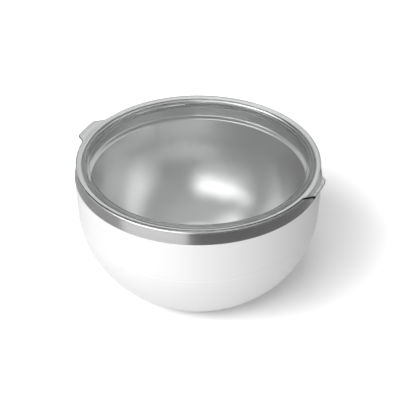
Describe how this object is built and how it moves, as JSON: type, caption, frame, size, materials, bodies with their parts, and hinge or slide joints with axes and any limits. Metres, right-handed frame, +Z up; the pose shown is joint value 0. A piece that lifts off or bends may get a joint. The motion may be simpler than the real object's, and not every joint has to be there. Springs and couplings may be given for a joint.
{
  "type": "insulated bowl with lid",
  "caption": "Double-walled stainless steel bowl with a white coated body, bare steel rim band and clear lift-off lid with pull tabs.",
  "frame": {"origin": "middle of the foot ring's sole, on the surface that the bowl stands on", "axes": "+Z up through the bowl's axis, +X towards one of the lid's two pull tabs"},
  "size_m": [0.2544, 0.2438, 0.14],
  "materials": {
    "inner_steel": "satin-polished stainless steel, spun",
    "band_steel": "satin stainless steel, brushed round the rim band",
    "white_coat": "smooth white powder coat on steel, satin",
    "base_steel": "pressed stainless steel",
    "foot_rubber": "matte grey rubber",
    "solder_glass": "dark solder glass",
    "getter_metal": "pressed zirconium alloy powder, matte grey",
    "copper_foil": "bright copper foil",
    "clear_plastic": "clear moulded copolyester, polished",
    "clear_silicone": "translucent silicone"
  },
  "bodies": {
    "bowl": {"inner_shell": "inner_steel", "outer_shell": "band_steel", "powder_coat": "white_coat", "base_cap": "base_steel", "foot_ring": "foot_rubber", "port_seal": "solder_glass", "getter": "getter_metal", "heat_shield": "copper_foil"},
    "lid_body": {"lid": "clear_plastic", "lid_seal": "clear_silicone"}
  },
  "joints": [
    {"name": "lid_lift", "type": "slide", "parent": "bowl", "child": "lid_body", "axis": [0, 0, 1], "range_m": [0, 0.16]}
  ]
}
